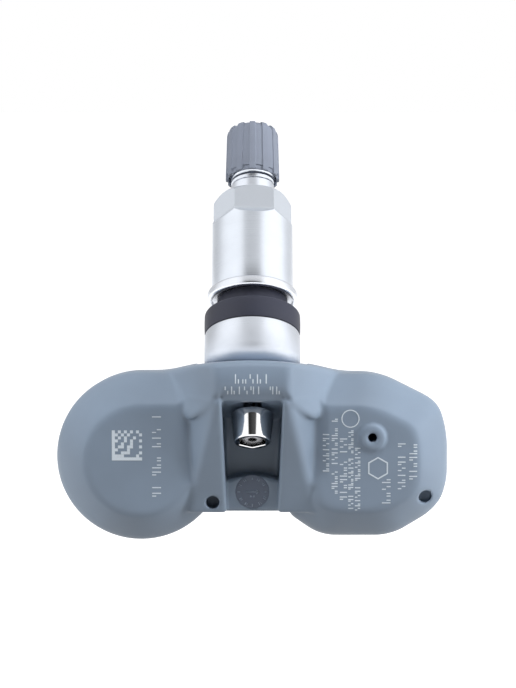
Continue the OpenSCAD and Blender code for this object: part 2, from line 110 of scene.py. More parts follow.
# Housing, in millimetres: u to the right, v up, w in front of the back face
BACK_Y = 2.5
HOUSING_TOP = -8.74
LOBE_H = 26.4
RIGHT_REACH = 31.2
LEFT_R = 13.55
LEFT_U = -17.75
LEFT_V = HOUSING_TOP - 13.35
LOBE_T = 13.5
PANEL_T = 18.0
WALL_T = 7.6
BEVEL = 5.0
DRAFT = 0.06
SOFT_SHARE = 0.3
SOFT_DEPTH_SHARE = 0.46
RIGHT_OUTLINE = (
    (5.0, -8.7), (20.3, -8.7), (29.5, -13.3), (RIGHT_REACH, -17.4), (RIGHT_REACH, -27.1),
    (29.3, -30.7), (22.2, -35.0), (10.8, -35.0), (5.4, -31.3),
)
PANEL_HALF = 5.8
PANEL_TOP = -5.88
PANEL_LOW = -12.05
PANEL_LAP = 1.7
# Window's roof: v at its front edge, fall a millimetre of depth
ROOF = (-11.95, 0.28)
# Lip and crown of the panel: v where each starts, then the two legs of its slope
LIP = (-11.05, 1.8, 1.55)
CROWN = (-7.75, 1.8, 1.15)
# Arch of the panel's top: fall in the middle, fall past the knee, u of the knee
ARCH = (0.012, 0.24, 5.9)
ARCH_FALL = 0.07
# Shoulders: lean at a level of v, its change a millimetre, that level
SHOULDER_LEAN = (0.865, 0.085, -15.0)
# Lower edge of the shoulders: lines through u, v with a fall
STEP = ((5.8, -12.3, 1.25), (8.2, -15.25, 0.27), (10.2, -16.0, -1.6))
MID_HALF = 10.9
FOOT_LOW = -30.55
MID_LOW = -29.95
MID_ARCH = 0.03
# Rails: two points of the ridge, one of the foot, and the tip as v, w and slope
RAIL_RIDGE = ((5.8, -12.6, 17.8), (8.9, -25.7, 13.5))
RAIL_FOOT = (9.75, -16.7, 13.0)
RAIL_TOP = (-12.05, 17.55, 1.2)
RAIL_OVERLAP = 0.4
RAIL_HALF = 10.4
# Valleys beside the rails: half span, width, lean, and where they fade in from below
VALLEY_HALF = 12.0
VALLEY_WIDTH = 2.4
VALLEY_LEAN = 0.42
VALLEY_FADE = (-27.0, 5.0)
WINDOW_HALF = 4.8
WINDOW_LOW_HALF = 4.0
POCKET_T = 6.5
LEDGE_T = 10.5
LEDGE_TOP = -24.85
LEDGE_R = 11.0
DIAL_AT = (0.0, -27.42)
DIAL_R = 2.7
DIAL_H = 0.25
DIAL_FACE = LEDGE_T - 0.06
LOCATE_R = 1.05
LOCATE_HOLES = ((-6.25, -28.85, 8.6), (27.35, -28.15, 8.4))
PORT_AT = (18.9, -18.4)
PORT_R = 0.7
PORT_BOSS_R = 2.1
PORT_BOSS_H = 0.5
PORT_FLOOR = 3.4
TUBE_R = 2.6
TUBE_FLOOR = 6.7
LID_T = 1.5
LID_INSET = 1.1
LID_LEFT = 10.2
# Cavity: inset and depth of each step, then the channel between the lobes and how far the room laps it
CAVITY_STEPS = ((2.2, 3.4), (3.0, 7.6), (5.65, 12.0))
CHANNEL = (-8.8, 11.2, -29.6, -19.6)
CHANNEL_T = 5.0
CHANNEL_LAP = 3.2
SWING = math.radians(6.0)
BALL_GAP = 0.06
SLOT_GAP = 0.12
SLOT_LAP = 1.0
VOXEL = 0.32

# Camera: distance and lens give the photograph's mild perspective
CAMERA_EL = math.radians(5.0)
CAMERA_DISTANCE = 450.0
CAMERA_LENS = 146.6
CAMERA_TARGET = (0.9, 0.0, -4.6)
FLOOR_GAP = 8.0
FLOOR_COLOR = 0.34
FLOOR_LIFT = 0.94

# Print: each row's place, length, height, first kind of mark, whether it stands upright, and its gaps
PRINT_ROWS = (
    (-0.1, -8.7, 5.6, 1.42, 0, False, 9),
    (0.0, -10.5, 8.6, 1.25, 2, False, 9),
    (-15.06, -21.3, 13.2, 1.4, 1, True, 4),
    (11.6, -20.74, 6.0, 1.0, 0, True, 9),
    (12.96, -21.36, 12.3, 0.95, 3, True, 9),
    (14.35, -23.41, 9.55, 1.15, 1, True, 9),
    (15.51, -23.56, 12.5, 0.8, 4, True, 9),
    (16.58, -24.67, 10.6, 0.85, 2, True, 9),
    (21.09, -26.93, 4.05, 1.35, 0, True, 9),
    (23.5, -22.96, 7.0, 1.2, 2, True, 9),
    (25.32, -22.26, 5.75, 1.25, 1, True, 9),
)
# Outlines: place, radius, sides and line width
PRINT_OUTLINES = ((15.43, -15.43, 1.35, 24, 0.16), (19.79, -23.26, 1.68, 6, 0.2))
BLOCK_AT = (-19.7, -19.65)
BLOCK_SIZE = 4.75
TICK_W = 0.17

# Light: the level of the room for diffuse light
ROOM_LEVEL = 0.24
# The room that reflections see: its dark gap in front and how that ends upwards, its sides and its back
SEEN_GAP = (0.06, 0.82)
SEEN_SIDE = 1.32
SEEN_BACK = 0.76
SEEN_TILT = 0.14
GAP_FADE = (0.68, 0.80)
SIDE_FADE = (0.30, 0.46)
BACK_FADE = (0.1, 0.6)
# Lamps, which all aim at one point: name, place, side and power
LAMPS = (
    ("above", (60, -130, 330), 200, 1.25),
    ("right", (330, -70, 60), 150, 1.42),
    ("left", (-330, -70, 60), 150, 0.80),
)
LAMP_AIM = (0, 0, -15)


def axis_point(x, b, s):
    """A point of the valve's frame, in metres: x across, b to the back and down, s along the axis."""
    return (
        x * MM,
        (b * math.cos(LEAN) + s * math.sin(LEAN)) * MM,
        (s * math.cos(LEAN) - b * math.sin(LEAN)) * MM,
    )


def housing_point(u, v, w):
    """A point of the housing's frame, in metres."""
    return (u * MM, (BACK_Y - w) * MM, v * MM)


def add_mesh(name, points, faces, material, smooth_angle=None):
    """A mesh object from points in metres, shaded smooth, with edges sharper than the angle kept sharp."""
    mesh = bpy.data.meshes.new(name)
    mesh.from_pydata([tuple(p) for p in points], [], [tuple(f) for f in faces])
    mesh.validate()
    mesh.polygons.foreach_set("use_smooth", [True] * len(mesh.polygons))
    if smooth_angle is not None:
        mesh.set_sharp_from_angle(angle=math.radians(smooth_angle))
    mesh.update()
    obj = bpy.data.objects.new(name, mesh)
    obj.data.materials.append(material)
    bpy.context.scene.collection.objects.link(obj)
    return obj


# Materials


def new_material(name, color, roughness, metallic=0.0):
    """A principled material, with its nodes, its shader and its object coordinates."""
    material = bpy.data.materials.new(name)
    material.use_nodes = True
    nodes = material.node_tree.nodes
    shader = nodes["Principled BSDF"]
    shader.inputs["Base Color"].default_value = (*color, 1.0)
    shader.inputs["Roughness"].default_value = roughness
    shader.inputs["Metallic"].default_value = metallic
    coords = nodes.new("ShaderNodeTexCoord")
    return material, shader, coords


def link(material, out, into):
    """Joins two sockets of a material."""
    material.node_tree.links.new(out, into)


def noise(material, vector, scale, detail):
    """Noise over a vector, with its cell size given in millimetres."""
    node = material.node_tree.nodes.new("ShaderNodeTexNoise")
    node.inputs["Scale"].default_value = 1.0 / (scale * MM)
    node.inputs["Detail"].default_value = detail
    link(material, vector, node.inputs["Vector"])
    return node


def ranged(material, value, low, high):
    """Maps a value from 0..1 to low..high."""
    node = material.node_tree.nodes.new("ShaderNodeMapRange")
    node.inputs["From Min"].default_value = 0.3
    node.inputs["From Max"].default_value = 0.7
    node.inputs["To Min"].default_value = low
    node.inputs["To Max"].default_value = high
    link(material, value, node.inputs["Value"])
    return node.outputs["Result"]


def tinted(material, value, dark, light):
    """Maps a value from 0..1 to a colour between dark and light."""
    ramp = material.node_tree.nodes.new("ShaderNodeValToRGB")
    ramp.color_ramp.elements[0].position = 0.3
    ramp.color_ramp.elements[0].color = (*dark, 1.0)
    ramp.color_ramp.elements[1].position = 0.7
    ramp.color_ramp.elements[1].color = (*light, 1.0)
    link(material, value, ramp.inputs["Fac"])
    return ramp.outputs["Color"]


def bumped(material, shader, height, depth):
    """Bump from a height of 0..1, with the depth in millimetres."""
    node = material.node_tree.nodes.new("ShaderNodeBump")
    node.inputs["Distance"].default_value = depth * MM
    link(material, height, node.inputs["Height"])
    link(material, node.outputs["Normal"], shader.inputs["Normal"])


def along_valve(material, coords):
    """The distance from the rim seat along the valve's axis, as a vector for turning marks."""
    dot = material.node_tree.nodes.new("ShaderNodeVectorMath")
    dot.operation = "DOT_PRODUCT"
    dot.inputs[1].default_value = (0.0, math.sin(LEAN), math.cos(LEAN))
    link(material, coords.outputs["Object"], dot.inputs[0])
    join = material.node_tree.nodes.new("ShaderNodeCombineXYZ")
    link(material, dot.outputs["Value"], join.inputs["Z"])
    return join.outputs["Vector"]


def plastic(name, color, roughness, grain, depth, spread=0.06):
    """Moulded plastic: a fine grain, slight mottling and uneven gloss."""
    material, shader, coords = new_material(name, color, roughness)
    place = coords.outputs["Object"]
    cloud = noise(material, place, 9.0, 3.0)
    dark = tuple(c * (1.0 - spread) for c in color)
    light = tuple(c * (1.0 + spread) for c in color)
    link(material, tinted(material, cloud.outputs["Fac"], dark, light), shader.inputs["Base Color"])
    fine = noise(material, place, grain, 2.0)
    gloss = ranged(material, cloud.outputs["Fac"], roughness - 0.05, roughness + 0.07)
    link(material, gloss, shader.inputs["Roughness"])
    bumped(material, shader, fine.outputs["Fac"], depth)
    return material


def turned_metal(name, color, roughness, mark, depth, foot=0.0):
    """Turned metal: fine rings round the axis over a faint mottling, rougher by foot towards the ball."""
    material, shader, coords = new_material(name, color, roughness, 1.0)
    axis = along_valve(material, coords)
    rings = noise(material, axis, mark, 3.0)
    cloud = noise(material, coords.outputs["Object"], 4.0, 3.0)
    dark = tuple(c * 0.96 for c in color)
    light = tuple(min(1.0, c * 1.03) for c in color)
    link(material, tinted(material, cloud.outputs["Fac"], dark, light), shader.inputs["Base Color"])
    gloss = ranged(material, rings.outputs["Fac"], roughness - 0.05, roughness + 0.07)
    if foot:
        nodes = material.node_tree.nodes
        split = nodes.new("ShaderNodeSeparateXYZ")
        link(material, axis, split.inputs["Vector"])
        rise = nodes.new("ShaderNodeMapRange")
        rise.interpolation_type = "SMOOTHSTEP"
        ends = (FOOT_FADE[0] * MM, FOOT_FADE[1] * MM, 0.0, foot)
        for key, number in zip(("From Min", "From Max", "To Min", "To Max"), ends):
            rise.inputs[key].default_value = number
        link(material, split.outputs["Z"], rise.inputs["Value"])
        total = nodes.new("ShaderNodeMath")
        link(material, gloss, total.inputs[0])
        link(material, rise.outputs["Result"], total.inputs[1])
        gloss = total.outputs["Value"]
    link(material, gloss, shader.inputs["Roughness"])
    bumped(material, shader, rings.outputs["Fac"], depth)
    return material


def plain_metal(name, color, roughness, grain, depth):
    """Metal with a fine even grain."""
    material, shader, coords = new_material(name, color, roughness, 1.0)
    fine = noise(material, coords.outputs["Object"], grain, 3.0)
    dark = tuple(c * 0.92 for c in color)
    link(material, tinted(material, fine.outputs["Fac"], dark, color), shader.inputs["Base Color"])
    gloss = ranged(material, fine.outputs["Fac"], roughness * 0.8, roughness * 1.25)
    link(material, gloss, shader.inputs["Roughness"])
    bumped(material, shader, fine.outputs["Fac"], depth)
    return material


def make_materials():
    """Every material of the model by its short name."""
    return {
        "housing": plastic("housing_plastic", (0.172, 0.221, 0.288), 0.42, 0.12, 0.005),
        "dial": plastic("dial_plastic", (0.095, 0.118, 0.165), 0.46, 0.12, 0.004),
        "relief": plastic("dial_relief", (0.24, 0.29, 0.37), 0.42, 0.12, 0.004),
        "cap": plastic("cap_plastic", (0.165, 0.186, 0.234), 0.55, 0.16, 0.035, 0.12),
        "rubber": plastic("grommet_rubber", (0.019, 0.021, 0.034), 0.52, 0.2, 0.006, 0.15),
        "seal": plastic("seal_rubber", (0.02, 0.02, 0.022), 0.6, 0.2, 0.006, 0.15),
        "print": plastic("print_ink", (0.56, 0.62, 0.68), 0.5, 0.1, 0.002, 0.04),
        "nut": turned_metal("nut_alloy", (0.74, 0.785, 0.855), 0.30, 0.05, 0.0012),
        "milled": plain_metal("nut_milled", (0.74, 0.785, 0.85), 0.52, 0.12, 0.002),
        "valve": turned_metal("valve_alloy", (0.74, 0.78, 0.85), 0.29, 0.05, 0.001, 0.22),
        "washer": turned_metal("washer_alloy", (0.78, 0.81, 0.87), 0.25, 0.05, 0.001),
        "chrome": plain_metal("screw_chrome", (0.86, 0.86, 0.87), 0.06, 0.3, 0.0003),
        "brass": turned_metal("core_brass", (0.80, 0.62, 0.30), 0.3, 0.05, 0.001),
        "steel": plain_metal("spring_steel", (0.66, 0.66, 0.68), 0.28, 0.15, 0.001),
        "cell": plain_metal("cell_steel", (0.72, 0.72, 0.72), 0.3, 0.2, 0.001),
        "board": plastic("board_green", (0.02, 0.16, 0.07), 0.35, 0.4, 0.004, 0.15),
        "chip": plastic("chip_black", (0.03, 0.03, 0.035), 0.45, 0.1, 0.003, 0.1),
        "ferrite": plastic("ferrite", (0.08, 0.08, 0.09), 0.55, 0.15, 0.006, 0.2),
        "copper": turned_metal("copper_wire", (0.72, 0.36, 0.18), 0.35, 0.1, 0.01),
        "ceramic": plastic("ceramic_tan", (0.50, 0.36, 0.22), 0.4, 0.2, 0.003, 0.1),
        "white": plastic("core_seal_white", (0.82, 0.82, 0.80), 0.4, 0.2, 0.003, 0.04),
    }


MATERIALS = make_materials()

NODE_FINISH = {
    "back_lid": "housing", "cap_seal": "seal", "core_barrel": "brass", "core_seal": "white",
    "core_pin": "brass", "pin_seal": "seal", "core_spring": "steel", "circuit_board": "board",
    "battery_cell": "cell", "battery_tab_front": "cell", "battery_tab_back": "cell",
    "sensor_chip": "chip", "port_seal": "seal", "transmitter_chip": "chip",
    "antenna_core": "ferrite", "antenna_winding": "copper", "crystal": "cell", "capacitors": "ceramic",
}


def dress_nodes():
    """Gives each node that stays its own finish."""
    for node, finish in NODE_FINISH.items():
        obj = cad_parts[node]
        for material_slot in obj.material_slots:
            material_slot.material = MATERIALS[finish]


# Turned pieces: rows of (height, radius), where a radius may be an array over the turn


def turned_piece(name, rows, material, segments, smooth_angle, phase=0.0):
    """A turned ring round the valve's axis, through the rows and back to the first."""
    theta = phase + np.arange(segments) * 2 * np.pi / segments
    points = []
    for height, radius in rows:
        r = np.broadcast_to(np.asarray(radius, dtype=float), (segments,))
        points += [axis_point(a, b, height) for a, b in zip(r * np.cos(theta), r * np.sin(theta))]
    faces = []
    for i in range(len(rows)):
        low, high = i * segments, (i + 1) % len(rows) * segments
        for j in range(segments):
            k = (j + 1) % segments
            faces.append((low + j, low + k, high + k, high + j))
    return add_mesh(name, points, faces, material, smooth_angle)


def arc_rows(height, radius, r, start, end, steps=6):
    """Rows along a round edge of radius r, whose centre is at (height, radius), from one angle to another."""
    angles = np.radians(np.linspace(start, end, steps))
    return [(height + r * math.sin(a), radius + r * math.cos(a)) for a in angles]


def make_cap():
    """Valve cap: twelve wide ribs that end in a lobed top, with a recess at the foot of each groove."""
    segments = 480
    theta = np.arange(segments) * 2 * np.pi / segments - np.pi / 2
    phase = (theta * CAP_RIBS / (2 * np.pi)) % 1.0
    off_rib = np.minimum(phase, 1.0 - phase)
    groove = np.clip((off_rib - 0.22) / 0.045, 0.0, 1.0)
    groove = groove * groove * (3 - 2 * groove)
    shallow, recess, lobe, draft = 0.17, 0.30, 0.42, 0.22
    top_h, top_r = 1.1, 0.72

    def outer(s):
        return CAP_R - draft * (s - CAP_LOW) / (CAP_TOP - CAP_LOW)

    rows = [(CAP_LOW, CAP_R - 0.12 - recess * groove), (CAP_LOW + 0.1, CAP_R - 0.02 - recess * groove)]
    rows += [(CAP_LOW + 0.8, outer(CAP_LOW + 0.8) - recess * groove)]
    rows += [(CAP_LOW + 0.84, outer(CAP_LOW + 0.84) - shallow * groove)]
    for s in np.linspace(CAP_LOW + 1.2, CAP_TOP - top_h, 12):
        rows.append((s, outer(s) - shallow * groove))
    for turn in np.radians(np.linspace(8, 90, 12)):
        rise, inset = math.sin(turn), 1.0 - math.cos(turn)
        depth = shallow + (lobe - shallow) * rise
        rows.append((CAP_TOP - top_h + top_h * rise, outer(CAP_TOP) - top_r * inset - depth * groove))
    rows += [(CAP_TOP, 2.4), (CAP_TOP, 0.02), (CAP_CEILING, 0.02), (CAP_CEILING, CAP_BORE_R)]
    rows += [(CAP_LOW + 0.25, CAP_BORE_R), (CAP_LOW, CAP_BORE_R + 0.1)]
    return turned_piece("valve_cap_ribbed", rows, MATERIALS["cap"], segments, 40.0, -np.pi / 2)


def make_nut():
    """Union nut: six milled flats that run out on the round, with a chamfered top."""
    segments = 360
    theta = np.arange(segments) * 2 * np.pi / segments
    side = (theta + np.pi / 2 - NUT_TURN) % (np.pi / 3)
    side = np.minimum(side, np.pi / 3 - side)
    runout, length = 1.25, 5.35

    def outer(s):
        below = max(NUT_TOP - length + runout - s, 0.0) / runout
        flat = NUT_FLAT + (NUT_R + 0.02 - NUT_FLAT) * min(below, 1.0) ** 1.4
        cone = NUT_FLAT + (NUT_TOP - s) * 1.1
        return np.minimum(np.minimum(NUT_R, flat / np.cos(side)), cone)

    rows = [(NUT_LOW, NUT_BORE_R + 0.2), (NUT_LOW, NUT_R - 0.25)]
    rows += arc_rows(NUT_LOW + 0.25, NUT_R - 0.25, 0.25, -60, 0, 4)
    for s in (NUT_LOW + 3.0, NUT_LOW + 7.0, NUT_TOP - length - 0.1):
        rows.append((s, NUT_R))
    for s in np.linspace(NUT_TOP - length, NUT_TOP - length + runout, 22):
        rows.append((s, outer(s)))
    for s in np.linspace(NUT_TOP - length + runout + 0.3, NUT_TOP - 0.75, 5):
        rows.append((s, outer(s)))
    for s in np.linspace(NUT_TOP - 0.7, NUT_TOP - 0.02, 10):
        rows.append((s, outer(s)))
    rows += [(NUT_TOP, NUT_FLAT - 0.08), (NUT_TOP, NUT_MOUTH_R + 0.25), (NUT_TOP - 0.25, NUT_MOUTH_R)]
    rows += [(NUT_STEP + 0.4, NUT_MOUTH_R), (NUT_STEP, NUT_BORE_R), (NUT_LOW + 0.2, NUT_BORE_R)]
    nut = turned_piece("union_nut_body", rows, MATERIALS["nut"], segments, 24.0)
    nut.data.materials.append(MATERIALS["milled"])
    for face in nut.data.polygons:
        x, y, z = face.center / MM
        s = y * math.sin(LEAN) + z * math.cos(LEAN)
        r = math.hypot(x, y * math.cos(LEAN) - z * math.sin(LEAN))
        if NUT_STEP < s < NUT_TOP - 0.01 and NUT_MOUTH_R + 0.5 < r < NUT_R - 0.03:
            face.material_index = 1
    return nut


def make_washer():
    """Clamp washer: round edges, hollow underneath."""
    edge, low, high = 0.5, WASHER_LOW, NUT_LOW
    rows = [(low, WASHER_RECESS_R), (low, WASHER_R - edge)]
    rows += arc_rows(low + edge, WASHER_R - edge, edge, -80, 0, 7)
    rows += arc_rows(high - edge, WASHER_R - edge, edge, 0, 90, 7)
    rows += [(high, WASHER_BORE_R), (WASHER_RECESS_TOP, WASHER_BORE_R), (WASHER_RECESS_TOP, WASHER_RECESS_R)]
    return turned_piece("clamp_washer_ring", rows, MATERIALS["washer"], 160, 30.0)


def make_grommet():
    """Rubber grommet: a collar with soft edges and a narrower neck."""
    rows = [(-COLLAR_H, STEM_R + 0.06), (-COLLAR_H, COLLAR_R - 0.3)]
    rows += arc_rows(-COLLAR_H + 0.2, COLLAR_R - 0.22, 0.2, -70, 0, 4)
    for share in (0.2, 0.4, 0.6, 0.8):
        rows.append((-COLLAR_H * (1 - share), COLLAR_R - 0.02 + 0.05 * math.sin(share * math.pi)))
    rows += arc_rows(-0.45, COLLAR_R - 0.45, 0.45, 10, 90, 7)
    rows += [(0.0, NECK_R + 0.2), (0.12, NECK_R + 0.04), (0.3, NECK_R)]
    rows += [(NECK_H - 0.15, NECK_R), (NECK_H, NECK_R - 0.15), (NECK_H, STEM_R + 0.06)]
    return turned_piece("grommet_rubber_ring", rows, MATERIALS["rubber"], 160, 35.0)


def make_valve_body():
    """Valve body: ball foot, satin base, stem, neck and a real helical cap thread."""
    segments = 128
    theta = np.arange(segments) * 2 * np.pi / segments
    round_r = 2.7
    rim = -math.sqrt((BALL_R - round_r) ** 2 - (BASE_R - round_r) ** 2)
    tap_r, tap_top = SCREW_R + 0.06, -4.0
    rows = [(tap_top, DRILL_R), (tap_top, tap_r)]
    foot = math.asin(tap_r / BALL_R)
    rim_angle = math.asin((BASE_R - round_r) / (BALL_R - round_r))
    for a in np.linspace(foot, rim_angle, 14):
        rows.append((-BALL_R * math.cos(a), BALL_R * math.sin(a)))
    rows += arc_rows(rim, BASE_R - round_r, round_r, math.degrees(rim_angle) - 90, 0, 16)[1:]
    rows += [(-COLLAR_H - 0.4, BASE_R), (-COLLAR_H - 0.12, BASE_R - 0.1)]
    rows += [(-COLLAR_H, BASE_R - 0.4), (-COLLAR_H, STEM_R), (STEM_STEP - 0.3, STEM_R)]
    rows += [(STEM_STEP, STEM_R - 0.3), (STEM_STEP, STEM_NECK_R), (THREAD_LOW - 0.6, STEM_NECK_R)]
    turns = 12
    steps = int((STEM_TOP - 0.45 - (THREAD_LOW - 0.5)) / THREAD_PITCH * turns)
    for s in np.linspace(THREAD_LOW - 0.5, STEM_TOP - 0.45, steps):
        phase = (s / THREAD_PITCH - theta / (2 * np.pi)) % 1.0
        ridge = np.clip(1.25 - 3.2 * np.abs(phase - 0.5), 0.0, 1.0)
        fade = min(1.0, max(0.0, (s - THREAD_LOW - 1.5) / 0.8))
        start = min(1.0, max(0.0, (s - THREAD_LOW) / 0.3))
        groove = 0.12 * start * (1.0 - ridge)
        rows.append((s, STEM_NECK_R - groove + (THREAD_R - STEM_NECK_R) * ridge * fade))
    rows += [(STEM_TOP, THREAD_R - 0.5), (STEM_TOP, CORE_BORE_R), (CORE_FLOOR, CORE_BORE_R)]
    rows += [(CORE_FLOOR, CORE_SEAT_R), (CORE_BED, CORE_SEAT_R), (CORE_BED, DRILL_R)]
    return turned_piece("valve_body_turned", rows, MATERIALS["valve"], segments, 32.0)


def make_screw():
    """Hollow screw: polished tapered head with a hex socket in its end."""
    segments = 144
    theta = np.arange(segments) * 2 * np.pi / segments
    side = theta % (np.pi / 3)
    hexagon = SOCKET_FLAT / np.cos(side - np.pi / 6)
    taper = (HEAD_R - HEAD_END_R) / (HEAD_TOP - 0.55 - HEAD_LOW)
    rows = [(HEAD_LOW + SOCKET_H, DRILL_R), (HEAD_LOW + SOCKET_H, hexagon), (HEAD_LOW + 0.14, hexagon)]
    rows += [(HEAD_LOW + 0.02, hexagon + 0.1), (HEAD_LOW, HEAD_END_R - 0.3)]
    rows += arc_rows(HEAD_LOW + 0.26, HEAD_END_R - 0.24, 0.26, -80, -7, 8)
    for s in np.linspace(HEAD_LOW + 0.34, HEAD_TOP - 0.7, 8):
        rows.append((s, HEAD_END_R + taper * (s - HEAD_LOW)))
    rows += arc_rows(HEAD_TOP - 0.6, HEAD_R - 0.2, 0.2, 5, 60, 5)
    rows += [(HEAD_TOP - 0.1, HEAD_FACE_R + 0.05), (HEAD_TOP, HEAD_FACE_R - 0.08)]
    rows += [(HEAD_TOP + 0.12, WAIST_R + 0.15), (HEAD_TOP + 0.3, WAIST_R), (-BALL_R, WAIST_R)]
    rows += [(-BALL_R + 0.6, SCREW_R), (SCREW_TOP - 0.3, SCREW_R)]
    rows += [(SCREW_TOP, SCREW_R - 0.3), (SCREW_TOP, DRILL_R)]
    phase = math.radians(30.0)
    return turned_piece("hollow_screw_head", rows, MATERIALS["chrome"], segments, 30.0, phase)


# Housing: signed distances in millimetres, joined with round fillets


def smooth_max(a, b, k):
    """The larger of two distances, with a fillet of about k where they meet."""
    h = np.clip(0.5 + 0.5 * (a - b) / k, 0.0, 1.0)
    return b + (a - b) * h + k * h * (1.0 - h)


def smooth_min(a, b, k):
    """The smaller of two distances, with a fillet of about k where they meet."""
    return -smooth_max(-a, -b, k)


def polygon_distance(u, v, corners, k):
    """Distance to a convex polygon with round corners, listed clockwise."""
    out = None
    for i, (u0, v0) in enumerate(corners):
        u1, v1 = corners[(i + 1) % len(corners)]
        length = math.hypot(u1 - u0, v1 - v0)
        side = ((v1 - v0) * (u0 - u) + (u1 - u0) * (v - v0)) / length
        out = side if out is None else smooth_max(out, side, k)
    return out


def bevelled(plan, w, k=0.9):
    """A slab with draft on its sides, whose front edge falls away in two soft steps."""
    plan = plan + DRAFT * np.maximum(WALL_T - w, 0.0)
    rise = LOBE_T - WALL_T
    soft, soft_rise = BEVEL * SOFT_SHARE, rise * SOFT_DEPTH_SHARE
    steep = (soft_rise * plan + soft * (w - WALL_T)) / math.hypot(soft_rise, soft)
    run, climb = BEVEL - soft, rise - soft_rise
    flat = (climb * (plan + soft) + run * (w - WALL_T - soft_rise)) / math.hypot(run, climb)
    body = smooth_max(smooth_max(plan, steep, k), flat, 1.6 * k)
    return smooth_max(body, w - LOBE_T, 0.8 * k)


def plane_through(p, q, r, u, v, w):
    """Distance to the plane through three points, positive in front of it."""
    p, q, r = (np.array(x, dtype=float) for x in (p, q, r))
    normal = np.cross(q - p, r - p)
    normal /= np.linalg.norm(normal)
    if normal[2] < 0:
        normal = -normal
    return (u - p[0]) * normal[0] + (v - p[1]) * normal[1] + (w - p[2]) * normal[2]


def left_round(u, v):
    """Plain round plan of the left lobe."""
    return np.hypot(u - LEFT_U, v - LEFT_V) - LEFT_R


def left_plan(u, v):
    """Round lobe, drawn out straight along its top towards the bridge."""
    across = u - LEFT_U
    past = np.where(v > LEFT_V, np.maximum(across + LEFT_U + PANEL_HALF, 0.0), across)
    return np.hypot(np.where(across < 0, across, past), v - LEFT_V) - LEFT_R


def right_plan(u, v):
    """Plan of the right lobe, with flat sides."""
    return polygon_distance(u, v, RIGHT_OUTLINE, 1.4)


def bridge(u, v, w):
    """Front panel with shoulders that twist towards the lobes and end in a small step."""
    a = np.abs(u)
    slope, twist, level = SHOULDER_LEAN
    lean = np.clip(slope + twist * (v - level), 0.8, 1.5)
    shoulder = (w - PANEL_T + lean * (a - PANEL_HALF)) / np.sqrt(1.0 + lean * lean)
    face = smooth_max(w - PANEL_T, shoulder, 0.7)
    flat, slope, knee = ARCH
    above = v - PANEL_TOP + ARCH_FALL * (PANEL_T - w)
    arch = smooth_max(above + flat * a, (above + slope * (a - knee)) / math.hypot(1.0, slope), 1.2)
    start, rise, depth = CROWN
    crown = ((w - PANEL_T) * rise + (v - start) * depth) / math.hypot(rise, depth)
    body = smooth_max(smooth_max(face, crown, 1.2), arch, 0.9)
    sides = [(v0 - fall * (a - u0) - v) / math.hypot(1.0, fall) for u0, v0, fall in STEP]
    step = smooth_max(smooth_max(sides[0], sides[1], 1.5), sides[2], 1.2)
    low = np.where(a < WINDOW_HALF - 0.1, PANEL_LOW - PANEL_LAP, PANEL_LOW)
    body = smooth_max(body, np.minimum(low - v, step), 1.1)
    start, depth, height = LIP
    lip = ((w - PANEL_T) * height - (v - start) * depth) / math.hypot(depth, height)
    return smooth_max(body, lip - np.clip(a - WINDOW_HALF, 0.0, 3.0), 1.2)


def rail(u, v, w):
    """Strips beside the window, falling back towards the bottom."""
    a = np.abs(u)
    top, low = RAIL_RIDGE
    fall = (top[2] - low[2]) / (top[1] - low[1])
    front = (w - top[2] - fall * (v - top[1])) / math.hypot(1.0, fall)
    flank = plane_through(top, low, RAIL_FOOT, a, v, w)
    reach = RAIL_OVERLAP * np.clip((PANEL_HALF - a) / 0.6, 0.0, 1.0)
    ends = np.maximum(v - PANEL_LOW - reach, FOOT_LOW - v)
    start, depth, slope = RAIL_TOP
    tip = (w - depth + slope * (v - start)) / math.hypot(1.0, slope)
    body = smooth_max(smooth_max(front, tip, 0.5), flank, 0.7)
    return smooth_max(smooth_max(body, a - RAIL_HALF, 0.8), ends, 0.5)


def window(u, v, w):
    """Pocket under the bridge, with a raised ledge at its mouth."""
    fall = (WINDOW_HALF - WINDOW_LOW_HALF) / (PANEL_LOW - FOOT_LOW)
    half = WINDOW_LOW_HALF + (v - FOOT_LOW) * fall
    sides = np.abs(u) - half
    reach = np.sqrt(u * u + v * v + (BACK_Y - w) ** 2)
    start, fall = ROOF
    roof = (v - start + fall * (PANEL_T - w)) / math.hypot(1.0, fall)
    cut = smooth_max(smooth_max(sides, POCKET_T - w, 0.7), roof, 0.6)
    cut = smooth_max(cut, BRIDGE_R - reach, 0.4)
    ledge = smooth_max(np.hypot(u, v - (LEDGE_TOP - LEDGE_R)) - LEDGE_R, w - LEDGE_T, 0.5)
    return smooth_max(cut, -ledge, 0.4)


def head_room(u, v, w):
    """Room for the screw's head where the housing's swing ends."""
    room = np.full_like(u, 100.0)
    for turn in (LEAN - SWING, LEAN + SWING):
        s = (BACK_Y - w) * math.sin(turn) + v * math.cos(turn)
        b = (BACK_Y - w) * math.cos(turn) - v * math.sin(turn)
        side = np.hypot(u, b)
        top = s - HEAD_TOP - HEAD_SPARE
        end = np.maximum(top, top + 0.5 * (side - HEAD_FACE_R))
        room = np.minimum(room, np.maximum(side - HEAD_R - HEAD_SPARE, end))
    return room


def swing_slot(u, v, w):
    """Slot in the bridge for the screw's shank."""
    y = BACK_Y - w
    s = y * math.sin(LEAN) + v * math.cos(LEAN)
    b = y * math.cos(LEAN) - v * math.sin(LEAN)
    across = np.maximum(np.abs(u), np.abs(b) - math.tan(SWING) * np.abs(s)) - WAIST_R - SLOT_GAP
    return np.maximum(across, np.maximum(s + BALL_R - SLOT_LAP, -BRIDGE_R - SLOT_LAP - s))


def channel(u, v, grow):
    """Plan of the channel between the lobes, grown on all sides."""
    low_u, high_u, low_v, high_v = CHANNEL
    across = np.maximum(low_u - grow - u, u - high_u - grow)
    return np.maximum(across, np.maximum(low_v - grow - v, v - high_v - grow))


